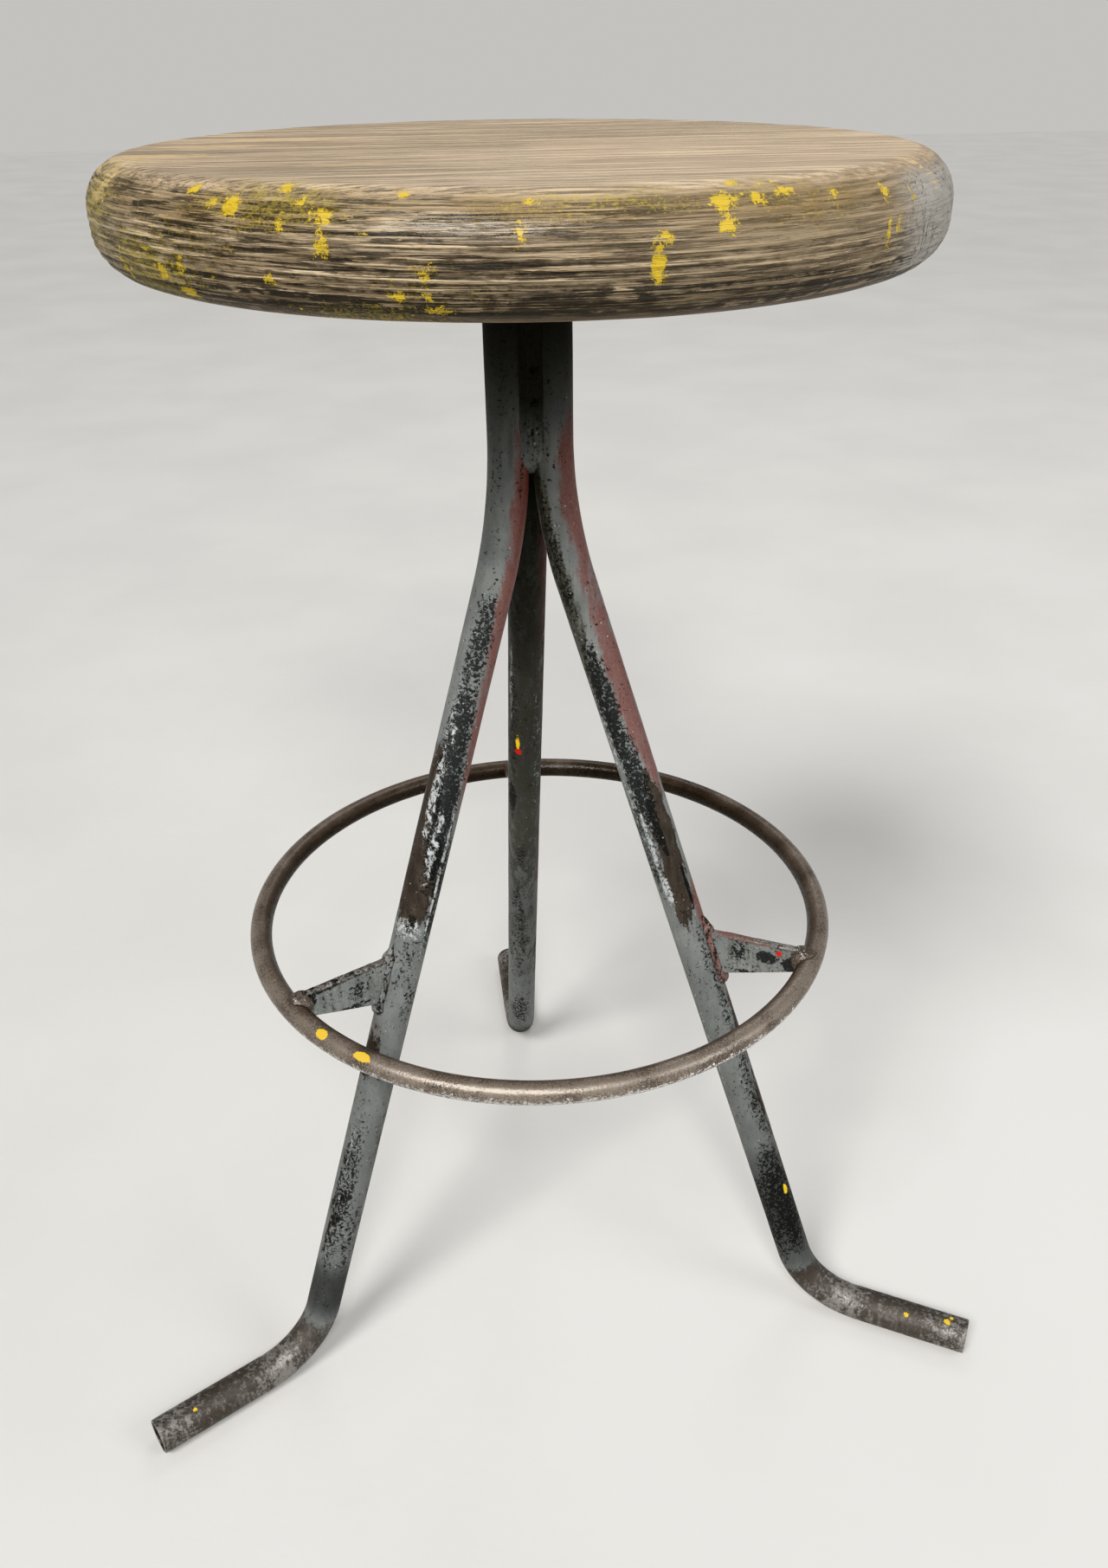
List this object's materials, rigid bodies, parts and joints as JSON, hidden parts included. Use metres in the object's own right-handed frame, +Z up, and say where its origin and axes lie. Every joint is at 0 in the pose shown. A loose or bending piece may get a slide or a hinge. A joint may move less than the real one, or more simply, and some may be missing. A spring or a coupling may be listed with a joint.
{
  "type": "workshop stool",
  "caption": "Backless tripod workshop stool: round wooden seat on bent steel tube legs that fork from one bundle and turn flat on the floor, with a welded round foot ring.",
  "frame": {"origin": "on the floor, at the bottom centre of the bounding box; the seat's vertical axis stands 49.5 mm from it towards -Y", "axes": "+Z up, +Y along the rear leg, the two front legs 120 degrees to either side of it"},
  "size_m": [0.4846, 0.449, 0.64],
  "materials": {
    "seat_wood": "worn, open grained, dull wax sheen",
    "grey_paint": "chipped blue-grey enamel",
    "taupe_paint": "brown paint worn to bare steel",
    "screw_steel": "dull, lightly rusted"
  },
  "bodies": {
    "root": {"seat": "seat_wood", "mounting_plate": "grey_paint", "seat_screws": "screw_steel", "leg_rear": "grey_paint", "leg_front_left": "grey_paint", "leg_front_right": "grey_paint", "foot_ring": "taupe_paint", "gusset_rear": "grey_paint", "gusset_front_left": "grey_paint", "gusset_front_right": "grey_paint", "seam_front": "grey_paint", "seam_left": "grey_paint", "seam_right": "grey_paint", "plate_weld_rear": "grey_paint", "plate_weld_left": "grey_paint", "plate_weld_right": "grey_paint", "leg_weld_rear": "grey_paint", "leg_weld_left": "grey_paint", "leg_weld_right": "grey_paint", "ring_weld_rear": "taupe_paint", "ring_weld_left": "taupe_paint", "ring_weld_right": "taupe_paint"}
  },
  "joints": []
}
